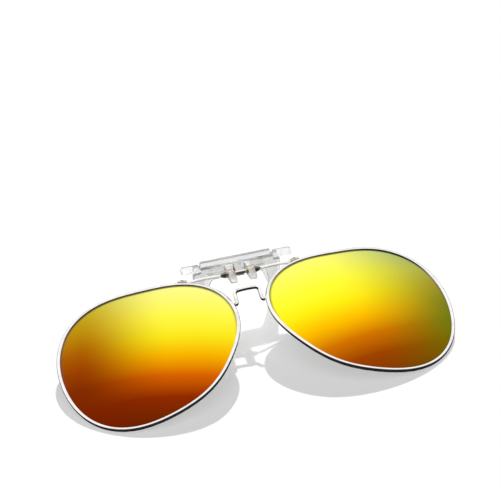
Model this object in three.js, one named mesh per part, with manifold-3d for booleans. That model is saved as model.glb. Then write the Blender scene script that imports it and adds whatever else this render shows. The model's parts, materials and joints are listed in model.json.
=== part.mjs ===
// Clip-on flip-up sunglass lenses: an aviator wire front hinged on a clear spring clip.
//
// Millimetres. Every piece is drawn in one drawing frame and the whole is then stood on a table:
//   x  across the face, the two sides are mirror images in x = 0
//   y  along the clip's legs, away from the tinted lenses' front
//   z  up the tinted lenses, from their lower edge to the clip
// The lenses are drawn flipped up, square to the clip's legs, so the object stands on the
// lower edges of its two rims and on the tips of the clip's front legs.
import * as THREE from 'three';
import { mergeVertices } from 'three/addons/utils/BufferGeometryUtils.js';
import Module from 'manifold-3d';

// ---- driving dimensions -------------------------------------------------------------------

// Tinted lens: distance from its middle to its edge every 30 degrees, from the temple side up.
const LENS_RADII = [29.6, 31.1, 29.9, 26.4, 29.0, 32.4, 28.7, 25.0, 24.2, 25.0, 28.0, 29.4];
const LENS_MIDDLE_X = 36.6;
const LENS_CURVE = 87; // radius of the lens's spherical face
const LENS_WRAP = THREE.MathUtils.degToRad(9); // turn of each lens towards the temple
const LENS_THICK = 0.8;
const LENS_SEAT = 0.2; // the lens sits this far behind the middle of its rim
const LENS_BEVEL = 0.15; // how far the edge's ridge reaches into the rim's groove
const LENS_INSET = 0.12; // gap between the lens faces and the rim's lips

const RIM_WIDTH = 1.4;
const RIM_DEPTH = 1.7;
const RIM_ROUND = 0.4;
const GROOVE_DEPTH = 0.5;
const GROOVE_HALF = 0.5;

const TABLE_TILT = THREE.MathUtils.degToRad(15.8); // lens plane above the table

const AXLE_Y = 0.3;
const AXLE_Z = 24.05;
const AXLE_R = 0.6;
const AXLE_HALF = 4.9;
const CAP_R = 1.15; // pointed caps on the axle's ends
const CAP_TIP_X = 7.0;
const CAP_TIP_R = 0.25;
const CAP_COLLAR = 0.35;

const WIRE_R = 0.5; // arm from the axle to the top of each rim
const WIRE_BOW = [-0.25, 0.1]; // y and z by which the middle of an arm leaves the straight line
const BRIDGE_R = 0.6;
const BRIDGE_ELBOW = 1.15; // distance from the rim to where the bridge turns up
const BRIDGE_HEAD = [4.15, 0.4, 16.4];
const BRIDGE_TOP = [0, 0.25, 16.65];
const BRIDGE_EASES = [0.8, 1.3, 2, 1.3, 0.8]; // from each corner to the start of its bend
const BRIDGE_FOOT_ANGLE = THREE.MathUtils.degToRad(159);
const GAP = 0.15; // soldered or pressed pieces stand this far apart

const LOCK_ANGLE = THREE.MathUtils.degToRad(123.5); // place of the rim's closing block
const LOCK_LONG = 3.2;
const LOCK_HIGH = 1.2;
const LOCK_DEEP = 1.7;
const LOCK_CHAMFER = 0.3;
const SCREW_R = 0.45;
const SCREW_SUNK = 0.1; // the screw's two ends lie this far inside the block
const SCREW_SLOT = 0.18;
const SCREW_SLOT_DEEP = 0.2;

const JAW_TOP = 0.6; // top edge of both jaws
const JAW_HALF = 12.7; // half width of the jaws above their shoulders
const SHOULDER_Y = 2.9;
const ARCH_Y = 7.1; // underside of the bar that joins the two legs
const FRONT_Z = 28.3;
const FRONT_THICK = 1.3;
const REAR_Z = 31.2;
const REAR_THICK = 1.0;
const REAR_INSET = 0.4; // the rear jaw is this much smaller all round
const JAW_SLOPE = 0.6; // fall of a shoulder towards the leg
const ARCH_R = 0.8;
const FRONT_LEG = { legIn: 8.6, legOut: 15.1, tipIn: 13.4, tipOut: 15.4 };
const REAR_LEG = { legIn: 10.4, legOut: 14.8, tipIn: 12.9, tipOut: 14.8 };

const BAR_HALF = 19.3; // brow bar, which rests on top of the spectacles
const BAR_TOP = 0.9;
const BAR_THICK = 1.3;
const BAR_FRONT = 28.6;
const BAR_BACK = 31.6;
const BAR_ROUND = 0.9;
const BAR_NOTCH = 0.3; // gap between the bar's notch and the rear jaw
const HEEL_X = [15.9, 18.7]; // the bar rests on a shallow heel near each end
const HEEL_Z = [29.0, 31.2];
const HEEL_HIGH = 0.2;

const LUG_X = 3.4; // the two ears that carry the axle
const LUG_THICK = 2.3;
const LUG_ROOT_Y = 4.4; // underside of the ear where it leaves the jaw
const LUG_WAIST_Z = 23.6;
const LUG_WAIST = 1.85; // half depth of the ear at the axle
const LUG_NOSE = { z: 19.9, y: -1.5, radius: 1.15 };
const LUG_NOSE_TURN = [1.1, -1.9]; // the nose's arc, in radians
const BUSH_R = 1.1;
const BUSH_BORE = 0.75;
const BUSH_LONG = 2.7;
const BUSH_PLAY = 0.1;

const PIN_Y = 5.0; // pivot of the rear jaw
const PIN_Z = 30.4;
const PIN_R = 0.4;
const PIN_HALF = 10.2;
const KNUCKLE_R = 0.72;
const KNUCKLE_BORE = 0.48;
const FRONT_KNUCKLE = [5.2, 7.2]; // from and to, across the face
const REAR_KNUCKLE = [7.6, 9.6];
const SUNK = 0.3; // a knuckle's foot and an ear's root reach this far into their jaw
const WINDOW_HALF_X = 1.9; // opening in both jaws for the torsion spring
const WINDOW_HALF_Y = 1.25;

const COIL_WIRE = 0.2;
const COIL_R = 0.8;
const COIL_TURNS = 4.5;
const COIL_PITCH = 0.5;
const COIL_ARM_TOP = 1.6;
const COIL_ARM_FOOT = PIN_Y - 1.2;

const LEAF_HALF = 1.3; // detent leaf: a foot on the front jaw, and a tongue under the axle
const LEAF_THICK = 0.28;
const LEAF_FOOT_Y = 3.4;
const LEAF_TONGUE_Z = AXLE_Z - 0.6;
const RIVET_Y = 2.25;
const RIVET_HEAD = [[0, 0], [0.55, 0], [0.5, 0.2], [0.3, 0.35], [0, 0.4]]; // radius and height

const PAD_THICK = 0.68;
const PAD_HALF = 0.62;
const PAD_TOP = [14.0, 19.4]; // middles of the pad's two round ends
const PAD_BOTTOM = [14.15, 22.6];
const STUCK = 0.05; // a pad or a rivet stands this far off the face that it is fixed to

// ---- finishes -----------------------------------------------------------------------------

const finish = (color, roughness, metalness, extra = {}) =>
  new THREE.MeshStandardMaterial({ color, roughness, metalness, ...extra });
const POLISHED = finish(0xd8d8dc, 0.15, 1);
const BRASS = finish(0xc8a050, 0.25, 1);
const SPRING_STEEL = finish(0xa8a8a8, 0.3, 1);
const MIRROR_GOLD = finish(0xf0b020, 0.08, 0.9);
const CLEAR = finish(0xe8ecea, 0.1, 0, { transparent: true, opacity: 0.45 });
const SILICONE = finish(0xf0f0ee, 0.6, 0, { transparent: true, opacity: 0.7 });

// ---- making and joining solids ------------------------------------------------------------

const wasm = await Module();
wasm.setup();

const v3 = (x, y, z) => new THREE.Vector3(x, y, z);

function bare(geometry) {
  const copy = geometry.clone();
  copy.deleteAttribute('normal');
  copy.deleteAttribute('uv');
  return mergeVertices(copy, 1e-5);
}

function toManifold(geometry) {
  const merged = bare(geometry);
  return new wasm.Manifold(new wasm.Mesh({
    numProp: 3,
    vertProperties: new Float32Array(merged.attributes.position.array),
    triVerts: new Uint32Array(merged.index.array),
  }));
}

function toGeometry(manifold) {
  const mesh = manifold.getMesh();
  const geometry = new THREE.BufferGeometry();
  geometry.setAttribute('position', new THREE.BufferAttribute(mesh.vertProperties, 3));
  geometry.setIndex(new THREE.BufferAttribute(mesh.triVerts, 1));
  return geometry;
}

// Joins the first list of geometries and cuts the second list out of them.
function carve(joined, cuts = []) {
  let body = toManifold(joined[0]);
  for (const extra of joined.slice(1)) body = body.add(toManifold(extra));
  for (const cut of cuts) body = body.subtract(toManifold(cut));
  return toGeometry(body);
}

// A surface over rings of equal length. Rings of one point are poles; loop joins last to first.
function skin(rings, loop = false) {
  const positions = [];
  const starts = rings.map((ring) => {
    const start = positions.length / 3;
    ring.forEach((p) => positions.push(p.x, p.y, p.z));
    return start;
  });
  const index = [];
  const last = loop ? rings.length : rings.length - 1;
  for (let i = 0; i < last; i += 1) {
    const j = (i + 1) % rings.length;
    const count = Math.max(rings[i].length, rings[j].length);
    for (let k = 0; k < count; k += 1) {
      const next = (k + 1) % count;
      const a = starts[i] + (rings[i].length > 1 ? k : 0);
      const b = starts[i] + (rings[i].length > 1 ? next : 0);
      const c = starts[j] + (rings[j].length > 1 ? next : 0);
      const d = starts[j] + (rings[j].length > 1 ? k : 0);
      if (a !== b) index.push(a, b, c);
      if (c !== d) index.push(a, c, d);
    }
  }
  const geometry = new THREE.BufferGeometry();
  geometry.setAttribute('position', new THREE.Float32BufferAttribute(positions, 3));
  geometry.setIndex(index);
  return facingOut(geometry);
}

function facingOut(geometry) {
  const position = geometry.attributes.position;
  const index = geometry.index.array;
  let volume = 0;
  for (let i = 0; i < index.length; i += 3) {
    const [a, b, c] = [0, 1, 2].map((k) => new THREE.Vector3().fromBufferAttribute(position, index[i + k]));
    volume += a.dot(b.cross(c));
  }
  if (volume < 0) {
    for (let i = 0; i < index.length; i += 3) [index[i], index[i + 1]] = [index[i + 1], index[i]];
  }
  return geometry;
}

// The other side's copy of a piece.
function mirrored(geometry) {
  const copy = bare(geometry);
  copy.scale(-1, 1, 1);
  return facingOut(copy);
}

const EXTRUDE = { bevelEnabled: false, curveSegments: 10 };

// Plate drawn in x and y, from z0 to z1.
function facePlate(shape, z0, z1) {
  const plate = new THREE.ExtrudeGeometry(shape, { ...EXTRUDE, depth: z1 - z0 });
  return plate.translate(0, 0, z0);
}

// Plate drawn in x and z, from y0 to y1.
function shelfPlate(shape, y0, y1) {
  const plate = new THREE.ExtrudeGeometry(shape, { ...EXTRUDE, depth: y1 - y0 });
  return plate.rotateX(Math.PI / 2).translate(0, y1, 0);
}

// Plate drawn in -z and y, from x0 to x1.
function sidePlate(shape, x0, x1) {
  const plate = new THREE.ExtrudeGeometry(shape, { ...EXTRUDE, depth: x1 - x0 });
  return plate.rotateY(Math.PI / 2).translate(x0, 0, 0);
}

function block(x0, x1, y0, y1, z0, z1) {
  return new THREE.BoxGeometry(x1 - x0, y1 - y0, z1 - z0)
    .translate((x0 + x1) / 2, (y0 + y1) / 2, (z0 + z1) / 2);
}

// Round bar along x.
function barX(radius, x0, x1, y, z, sides = 24) {
  return new THREE.CylinderGeometry(radius, radius, x1 - x0, sides)
    .rotateZ(Math.PI / 2).translate((x0 + x1) / 2, y, z);
}

// Round wire through hand-placed points. An arc gives two sides for each of its segments.
function wire(points, radius, steps, sides = 10) {
  const path = new THREE.CatmullRomCurve3(points, false, 'centripetal');
  const section = new THREE.Shape().absarc(0, 0, radius, 0, 2 * Math.PI, false);
  return new THREE.ExtrudeGeometry(section, {
    steps, curveSegments: sides / 2, extrudePath: path, bevelEnabled: false,
  });
}

// A path with straight runs, bent at each inner corner from `ease` before it to `ease` after it.
function bentPath(corners, eases) {
  const towards = (from, to, far) => from.clone().addScaledVector(to.clone().sub(from).normalize(), far);
  const bends = eases.flatMap((ease, i) => {
    const [before, corner, after] = corners.slice(i, i + 3);
    const [start, stop] = [towards(corner, before, ease), towards(corner, after, ease)];
    return new THREE.QuadraticBezierCurve3(start, corner, stop).getPoints(6);
  });
  return [corners[0], ...bends, corners.at(-1)];
}

// ---- tinted lens and rim ------------------------------------------------------------------

// Smooth radius at any angle: the twelve radii joined by the lowest twelve cosine waves.
function lensRadius(angle) {
  const count = LENS_RADII.length;
  return LENS_RADII.reduce((sum, radius, j) => {
    const turn = angle - (2 * Math.PI * j) / count;
    let weight = 1 + Math.cos((count / 2) * turn);
    for (let k = 1; k < count / 2; k += 1) weight += 2 * Math.cos(k * turn);
    return sum + (radius * weight) / count;
  }, 0);
}

// Depth of the lens's middle surface: a sphere, leaning back towards the temple.
function lensDepth(x, z) {
  const across = x - LENS_MIDDLE_X;
  const radius = Math.hypot(across, z);
  return LENS_CURVE - Math.sqrt(LENS_CURVE ** 2 - radius ** 2) + Math.tan(LENS_WRAP) * across;
}

function lensBack(x, z) {
  const across = x - LENS_MIDDLE_X;
  const drop = Math.sqrt(LENS_CURVE ** 2 - across ** 2 - z ** 2);
  return v3(-across / drop - Math.tan(LENS_WRAP), 1, -z / drop).normalize();
}

// Point, outward, back and along directions on the edge of the lens.
function edgeFrame(angle) {
  const at = (turn) => {
    const r = lensRadius(turn);
    const x = LENS_MIDDLE_X + r * Math.cos(turn);
    const z = r * Math.sin(turn);
    return v3(x, lensDepth(x, z), z);
  };
  const point = at(angle);
  const step = 0.01;
  const along = at(angle + step).sub(at(angle - step)).normalize();
  const back = lensBack(point.x, point.z);
  const outward = new THREE.Vector3().crossVectors(back, along).normalize();
  return { point, along, back, outward };
}

const edgePoint = (frame, out, deep) =>
  frame.point.clone().addScaledVector(frame.outward, out).addScaledVector(frame.back, deep);

const EDGE_STEPS = 72;
const edgeAngles = Array.from({ length: EDGE_STEPS }, (_, i) => (2 * Math.PI * i) / EDGE_STEPS);

function lensSolid() {
  const [front, back] = [LENS_SEAT - LENS_THICK / 2, LENS_SEAT + LENS_THICK / 2];
  const ringShares = [0.25, 0.5, 0.75];
  const faceRing = (share, deep) => edgeAngles.map((angle) => {
    const r = (lensRadius(angle) - LENS_INSET) * share;
    const x = LENS_MIDDLE_X + r * Math.cos(angle);
    const z = r * Math.sin(angle);
    return v3(x, lensDepth(x, z), z).addScaledVector(lensBack(x, z), deep);
  });
  const edgeRing = (out, deep) => edgeAngles.map((angle) => edgePoint(edgeFrame(angle), out, deep));
  return skin([
    [v3(LENS_MIDDLE_X, front, 0)],
    ...ringShares.map((share) => faceRing(share, front)),
    edgeRing(-LENS_INSET, front),
    edgeRing(LENS_BEVEL, LENS_SEAT),
    edgeRing(-LENS_INSET, back),
    ...ringShares.toReversed().map((share) => faceRing(share, back)),
    [v3(LENS_MIDDLE_X, back, 0)],
  ]);
}

function rimSolid() {
  const half = RIM_DEPTH / 2;
  const section = [
    [0, LENS_SEAT - GROOVE_HALF], [GROOVE_DEPTH, LENS_SEAT], [0, LENS_SEAT + GROOVE_HALF],
    [0, half - RIM_ROUND / 2], [RIM_ROUND / 2, half],
    [RIM_WIDTH - RIM_ROUND, half], [RIM_WIDTH, half - RIM_ROUND],
    [RIM_WIDTH, RIM_ROUND - half], [RIM_WIDTH - RIM_ROUND, -half],
    [RIM_ROUND / 2, -half], [0, RIM_ROUND / 2 - half],
  ];
  const rings = edgeAngles.map((angle) => {
    const frame = edgeFrame(angle);
    return section.map(([out, deep]) => edgePoint(frame, out, deep));
  });
  return skin(rings, true);
}

// ---- wire front: closing blocks, screws, bridge, arms and axle ----------------------------

// Moves a geometry drawn round the origin (x along the rim, y deep, z outward) to its place.
function onRim(geometry, angle, out) {
  const frame = edgeFrame(angle);
  const along = new THREE.Vector3().crossVectors(frame.back, frame.outward);
  const turn = new THREE.Matrix4().makeBasis(along, frame.back, frame.outward);
  turn.setPosition(edgePoint(frame, out, 0));
  return geometry.applyMatrix4(turn);
}

const LOCK_OUT = RIM_WIDTH + GAP + LOCK_HIGH / 2;

function lockSolid() {
  const x = LOCK_LONG / 2;
  const z = LOCK_HIGH / 2;
  const outline = new THREE.Shape();
  outline.moveTo(-x, -z).lineTo(x, -z).lineTo(x, z - LOCK_CHAMFER).lineTo(x - LOCK_CHAMFER, z);
  outline.lineTo(-x + LOCK_CHAMFER, z).lineTo(-x, z - LOCK_CHAMFER);
  const body = shelfPlate(outline, -LOCK_DEEP / 2, LOCK_DEEP / 2);
  const wall = SCREW_R + SCREW_SUNK;
  const screwHole = new THREE.CylinderGeometry(wall, wall, 2 * LOCK_DEEP, 20);
  return onRim(carve([body], [screwHole]), LOCK_ANGLE, LOCK_OUT);
}

function screwSolid() {
  const front = SCREW_SUNK - LOCK_DEEP / 2;
  const shank = new THREE.CylinderGeometry(SCREW_R, SCREW_R, -2 * front, 20);
  const slot = block(
    -LOCK_LONG, LOCK_LONG, front - LOCK_DEEP, front + SCREW_SLOT_DEEP, -SCREW_SLOT / 2, SCREW_SLOT / 2);
  return onRim(carve([shank], [slot]), LOCK_ANGLE, LOCK_OUT);
}

// End of an arm against the nasal end of the closing block.
function armEnd() {
  const frame = edgeFrame(LOCK_ANGLE);
  return edgePoint(frame, LOCK_OUT, 0).addScaledVector(frame.along, LOCK_LONG / 2 + GAP);
}

function armSolid() {
  const start = v3(CAP_TIP_X + GAP, AXLE_Y, AXLE_Z);
  const end = armEnd();
  const middle = start.clone().lerp(end, 0.5).add(v3(0, ...WIRE_BOW));
  return wire([start, middle, end], WIRE_R, 12);
}

function bridgeSolid() {
  const foot = edgeFrame(BRIDGE_FOOT_ANGLE);
  const half = [
    edgePoint(foot, RIM_WIDTH + GAP, -0.2),
    edgePoint(foot, RIM_WIDTH + BRIDGE_ELBOW, -0.2),
    v3(...BRIDGE_HEAD),
  ];
  const other = half.map((p) => v3(-p.x, p.y, p.z)).toReversed();
  return wire(bentPath([...half, v3(...BRIDGE_TOP), ...other], BRIDGE_EASES), BRIDGE_R, 56);
}

function axleSolid() {
  return barX(AXLE_R, -AXLE_HALF, AXLE_HALF, AXLE_Y, AXLE_Z);
}

// Pointed cap on the right end of the axle: a collar, a waist and a cone.
function capSolid() {
  const base = AXLE_HALF + GAP;
  const long = CAP_TIP_X - base;
  const profile = [
    [0, 0], [CAP_R, 0], [CAP_R, CAP_COLLAR], [CAP_R - 0.3, CAP_COLLAR + 0.15],
    [CAP_R - 0.12, CAP_COLLAR + 0.4], [CAP_R - 0.25, CAP_COLLAR + 0.65],
    [CAP_TIP_R + 0.1, long - 0.1], [CAP_TIP_R, long], [0, long],
  ].map(([r, h]) => new THREE.Vector2(r, h));
  return new THREE.LatheGeometry(profile, 24).rotateZ(-Math.PI / 2).translate(base, AXLE_Y, AXLE_Z);
}

// ---- clear front jaw ----------------------------------------------------------------------

// Outline of a jaw, smaller by an inset: top bar, shoulders and two tapering legs either side of
// the nose arch.
function jawOutline(inset, { legIn, legOut, tipIn, tipOut }, tipY) {
  const outline = new THREE.Shape();
  const tipR = (tipOut - tipIn) / 2;
  const tipX = (tipOut + tipIn) / 2;
  const half = JAW_HALF - inset;
  const shoulder = SHOULDER_Y + 0.75 * inset;
  const arch = ARCH_Y + inset;
  outline.moveTo(-half, JAW_TOP).lineTo(half, JAW_TOP);
  outline.lineTo(half, shoulder - JAW_SLOPE).lineTo(legOut, shoulder);
  outline.lineTo(tipOut, tipY - tipR).absarc(tipX, tipY - tipR, tipR, 0, Math.PI, false);
  outline.lineTo(legIn + ARCH_R / 2, arch + ARCH_R);
  outline.quadraticCurveTo(legIn, arch, legIn - ARCH_R, arch);
  outline.lineTo(ARCH_R - legIn, arch);
  outline.quadraticCurveTo(-legIn, arch, -legIn - ARCH_R / 2, arch + ARCH_R);
  outline.lineTo(-tipIn, tipY - tipR).absarc(-tipX, tipY - tipR, tipR, 0, Math.PI, false);
  outline.lineTo(-legOut, shoulder).lineTo(-half, shoulder - JAW_SLOPE);
  return outline;
}

function browBar() {
  const inner = JAW_HALF + BAR_NOTCH;
  const outline = new THREE.Shape();
  const r = BAR_ROUND;
  outline.moveTo(r - BAR_HALF, BAR_FRONT).lineTo(BAR_HALF - r, BAR_FRONT);
  outline.quadraticCurveTo(BAR_HALF, BAR_FRONT, BAR_HALF, BAR_FRONT + r);
  outline.lineTo(BAR_HALF, BAR_BACK - r).quadraticCurveTo(BAR_HALF, BAR_BACK, BAR_HALF - r, BAR_BACK);
  outline.lineTo(inner, BAR_BACK).lineTo(inner, FRONT_Z + FRONT_THICK);
  outline.lineTo(-inner, FRONT_Z + FRONT_THICK).lineTo(-inner, BAR_BACK).lineTo(r - BAR_HALF, BAR_BACK);
  outline.quadraticCurveTo(-BAR_HALF, BAR_BACK, -BAR_HALF, BAR_BACK - r);
  outline.lineTo(-BAR_HALF, BAR_FRONT + r);
  outline.quadraticCurveTo(-BAR_HALF, BAR_FRONT, r - BAR_HALF, BAR_FRONT);
  return shelfPlate(outline, BAR_TOP, BAR_TOP + BAR_THICK);
}

// Shallow heel under one end of the brow bar.
function heel(side) {
  const [x0, x1] = HEEL_X.map((x) => side * x).sort((p, q) => p - q);
  const under = BAR_TOP + BAR_THICK;
  return block(x0, x1, under - HEEL_HIGH, under + HEEL_HIGH, ...HEEL_Z);
}

// Ear: deep at the jaw, narrowing past the axle to a round nose.
function lug(side) {
  const root = -(FRONT_Z + SUNK);
  const { z, y, radius } = LUG_NOSE;
  const outline = new THREE.Shape();
  outline.moveTo(root, JAW_TOP).lineTo(root, LUG_ROOT_Y).lineTo(-LUG_WAIST_Z, AXLE_Y + LUG_WAIST);
  outline.absarc(-z, y, radius, ...LUG_NOSE_TURN, true);
  outline.lineTo(-AXLE_Z, AXLE_Y - LUG_WAIST);
  const middle = side * LUG_X;
  return sidePlate(outline, middle - LUG_THICK / 2, middle + LUG_THICK / 2);
}

// Knuckles that carry the pivot pin, standing on a jaw between two x values, on both sides.
function knuckles([x0, x1], plateZ) {
  const low = Math.min(plateZ, PIN_Z);
  const high = Math.max(plateZ, PIN_Z);
  return [-1, 1].flatMap((side) => {
    const [a, b] = [side * x0, side * x1].sort((p, q) => p - q);
    return [
      barX(KNUCKLE_R, a, b, PIN_Y, PIN_Z),
      block(a, b, PIN_Y - KNUCKLE_R, PIN_Y + KNUCKLE_R, low, high),
    ];
  });
}

const pinBore = () => barX(KNUCKLE_BORE, -JAW_HALF, JAW_HALF, PIN_Y, PIN_Z);
const springWindow = () => block(
  -WINDOW_HALF_X, WINDOW_HALF_X, PIN_Y - WINDOW_HALF_Y, PIN_Y + WINDOW_HALF_Y,
  FRONT_Z - FRONT_THICK, REAR_Z + 2 * REAR_THICK);

function frontJawSolid(tipY) {
  const plate = facePlate(jawOutline(0, FRONT_LEG, tipY), FRONT_Z, FRONT_Z + FRONT_THICK);
  const inPlate = FRONT_Z + FRONT_THICK - SUNK;
  const reach = LUG_X + LUG_THICK;
  return carve(
    [plate, browBar(), heel(-1), heel(1), lug(-1), lug(1), ...knuckles(FRONT_KNUCKLE, inPlate)],
    [barX(BUSH_R + BUSH_PLAY, -reach, reach, AXLE_Y, AXLE_Z), pinBore(), springWindow()],
  );
}

function rearJawSolid(tipY) {
  const plate = facePlate(jawOutline(REAR_INSET, REAR_LEG, tipY), REAR_Z, REAR_Z + REAR_THICK);
  return carve([plate, ...knuckles(REAR_KNUCKLE, REAR_Z + SUNK)], [pinBore(), springWindow()]);
}

// ---- small parts of the clip --------------------------------------------------------------

function bushSolid(side) {
  const middle = side * LUG_X;
  const [a, b] = [middle - BUSH_LONG / 2, middle + BUSH_LONG / 2];
  return carve([barX(BUSH_R, a, b, AXLE_Y, AXLE_Z)], [barX(BUSH_BORE, a - 1, b + 1, AXLE_Y, AXLE_Z)]);
}

// A foot against the front jaw and a tongue under the axle.
function leafSolid() {
  const back = FRONT_Z - GAP;
  const under = AXLE_Y + AXLE_R + GAP;
  const foot = block(-LEAF_HALF, LEAF_HALF, under, LEAF_FOOT_Y, back - LEAF_THICK, back);
  const tongue = block(
    -LEAF_HALF, LEAF_HALF, under, under + LEAF_THICK, LEAF_TONGUE_Z, back - LEAF_THICK / 2);
  return carve([foot, tongue]);
}

function rivetSolid() {
  const z = FRONT_Z - GAP - LEAF_THICK - STUCK;
  return new THREE.LatheGeometry(RIVET_HEAD.map(([r, h]) => new THREE.Vector2(r, h)), 20)
    .rotateX(-Math.PI / 2).translate(0, RIVET_Y, z);
}

// Torsion spring: close coils round the pin and an arm up behind each jaw.
function torsionSpringSolid() {
  const coils = 14 * COIL_TURNS;
  const startX = (-COIL_TURNS * COIL_PITCH) / 2;
  const turnAt = (i) => Math.PI + (2 * Math.PI * COIL_TURNS * i) / coils;
  const [frontZ, rearZ] = [PIN_Z - COIL_R, PIN_Z + COIL_R];
  const points = [v3(startX, COIL_ARM_TOP, frontZ + 0.22), v3(startX, COIL_ARM_FOOT, frontZ + 0.12)];
  for (let i = 0; i <= coils; i += 1) {
    const turn = turnAt(i);
    points.push(v3(
      startX + (COIL_PITCH * COIL_TURNS * i) / coils,
      PIN_Y - COIL_R * Math.sin(turn),
      PIN_Z + COIL_R * Math.cos(turn),
    ));
  }
  points.push(v3(-startX, COIL_ARM_FOOT, rearZ - 0.3), v3(-startX, COIL_ARM_TOP, rearZ - 0.4));
  return wire(points, COIL_WIRE, 90, 6);
}

// Soft grip pad on the facing side of a leg near its tip.
function padSolid(z0) {
  const outline = new THREE.Shape().absarc(...PAD_TOP, PAD_HALF, Math.PI, 2 * Math.PI, false);
  outline.absarc(...PAD_BOTTOM, PAD_HALF, 0, Math.PI, false);
  return facePlate(outline, z0, z0 + PAD_THICK);
}

// ---- assembly -----------------------------------------------------------------------------

// Height over the table of a point of the drawing, before the whole is lifted onto it.
const heightOf = (y, z) => z * Math.sin(TABLE_TILT) - y * Math.cos(TABLE_TILT);

function lowestOf(geometry) {
  const position = geometry.attributes.position;
  let low = Infinity;
  for (let i = 0; i < position.count; i += 1) {
    low = Math.min(low, heightOf(position.getY(i), position.getZ(i)));
  }
  return low;
}

const drawing = new THREE.Group();
drawing.rotation.x = TABLE_TILT - Math.PI / 2;

function add(name, geometry, material) {
  const mesh = new THREE.Mesh(geometry, material);
  mesh.name = name;
  drawing.add(mesh);
}

function addPair(name, geometry, material) {
  add(`${name}_right`, geometry, material);
  add(`${name}_left`, mirrored(geometry), material);
}

const rim = rimSolid();
addPair('rim', rim, POLISHED);
addPair('tinted_lens', lensSolid(), MIRROR_GOLD);
addPair('rim_lock', lockSolid(), POLISHED);
addPair('rim_screw', screwSolid(), SPRING_STEEL);
addPair('top_arm', armSolid(), POLISHED);
addPair('axle_cap', capSolid(), POLISHED);
add('bridge', bridgeSolid(), POLISHED);
add('axle', axleSolid(), POLISHED);

// The front legs reach exactly as low as the rims.
const tableHeight = lowestOf(rim);
const frontTipY = (FRONT_Z * Math.sin(TABLE_TILT) - tableHeight) / Math.cos(TABLE_TILT);
const rearTipY = frontTipY - REAR_INSET;
add('front_jaw', frontJawSolid(frontTipY), CLEAR);
add('rear_jaw', rearJawSolid(rearTipY), CLEAR);
add('ear_bush_right', bushSolid(1), BRASS);
add('ear_bush_left', bushSolid(-1), BRASS);
add('detent_leaf', leafSolid(), SPRING_STEEL);
add('detent_rivet', rivetSolid(), SPRING_STEEL);
add('pivot_pin', barX(PIN_R, -PIN_HALF, PIN_HALF, PIN_Y, PIN_Z), SPRING_STEEL);
add('torsion_spring', torsionSpringSolid(), SPRING_STEEL);
addPair('front_pad', padSolid(FRONT_Z + FRONT_THICK + STUCK), SILICONE);
addPair('rear_pad', padSolid(REAR_Z - STUCK - PAD_THICK), SILICONE);

// The origin is on the table, under the middle of the object.
drawing.updateMatrixWorld(true);
const extent = new THREE.Box3().setFromObject(drawing, true);
const middle = extent.getCenter(new THREE.Vector3());
const object = new THREE.Group();
object.position.set(-middle.x, -middle.y, -extent.min.z);
object.add(drawing);

export default object;
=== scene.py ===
import json
import math

import bpy
import numpy as np
from bpy.props import FloatProperty, FloatVectorProperty, IntProperty, PointerProperty
from mathutils import Matrix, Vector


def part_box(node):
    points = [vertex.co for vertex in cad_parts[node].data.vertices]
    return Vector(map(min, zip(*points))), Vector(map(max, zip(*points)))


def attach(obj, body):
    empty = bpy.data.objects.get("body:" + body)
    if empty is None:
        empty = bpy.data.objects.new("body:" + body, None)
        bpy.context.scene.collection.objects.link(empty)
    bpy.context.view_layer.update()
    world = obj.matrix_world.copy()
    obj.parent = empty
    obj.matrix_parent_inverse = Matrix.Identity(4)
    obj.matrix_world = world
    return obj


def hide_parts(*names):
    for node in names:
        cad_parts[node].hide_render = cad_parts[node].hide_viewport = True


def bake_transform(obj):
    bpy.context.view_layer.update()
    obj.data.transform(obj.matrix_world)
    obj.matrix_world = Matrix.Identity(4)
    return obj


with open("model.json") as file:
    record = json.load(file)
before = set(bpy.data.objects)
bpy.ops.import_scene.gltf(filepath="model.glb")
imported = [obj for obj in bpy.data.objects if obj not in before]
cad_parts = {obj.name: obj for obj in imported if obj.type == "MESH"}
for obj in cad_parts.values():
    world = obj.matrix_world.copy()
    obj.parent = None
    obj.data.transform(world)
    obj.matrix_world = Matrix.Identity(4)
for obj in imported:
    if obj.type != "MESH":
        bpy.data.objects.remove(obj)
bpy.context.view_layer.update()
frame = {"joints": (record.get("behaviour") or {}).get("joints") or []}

bl_info = {
    "name": "Clip-on flip lenses",
    "version": (1, 0, 0),
    "blender": (4, 5, 0),
    "location": "3D View > Sidebar > Flip lenses",
    "description": "Mirrored aviator lenses on a wire front that flips up from a clear spring clip",
    "category": "Add Mesh",
}

MM = 0.001
# Radius at which a turned profile stops beside its axis, so that no ring is a single point.
TIP = 0.0001 * MM
# Edges that turn by more than this are shown sharp.
SHARP_ANGLE = math.radians(38)

# ---- where the drawing stands ---------------------------------------------------------------
# Every piece is drawn in one drawing frame and then stood on the table:
#   x  across the face, y  along the clip's legs, z  up the tinted lenses.

TABLE_TILT = math.radians(15.8)
AXLE_PLACE = np.array([0.0, 0.3, 24.05]) * MM
TURN = np.array([
    [1.0, 0.0, 0.0],
    [0.0, math.sin(TABLE_TILT), math.cos(TABLE_TILT)],
    [0.0, -math.cos(TABLE_TILT), math.sin(TABLE_TILT)],
])
HINGE = {joint["name"]: np.array(joint["pos_m"]) for joint in frame["joints"]}
ORIGIN = HINGE["flip"] - TURN @ AXLE_PLACE
PIN_PLACE = TURN.T @ (HINGE["clamp"] - ORIGIN)


def stand(points):
    """Points of the drawing frame, turned and lifted onto the table."""
    return points @ TURN.T + ORIGIN


# ---- sizes and colours that a user would change ----------------------------------------------

def length(name, description, millimetres):
    return FloatProperty(
        name=name, description=description, default=millimetres * MM, unit="LENGTH", precision=5)


def colour(name, description, default):
    return FloatVectorProperty(
        name=name, description=description, default=default, subtype="COLOR", size=3, min=0, max=1)


def angle(name, description, degrees):
    return FloatProperty(
        name=name, description=description, default=math.radians(degrees), subtype="ANGLE")


def share(name, description, default):
    return FloatProperty(
        name=name, description=description, default=default, min=0, max=1, subtype="FACTOR")


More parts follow.
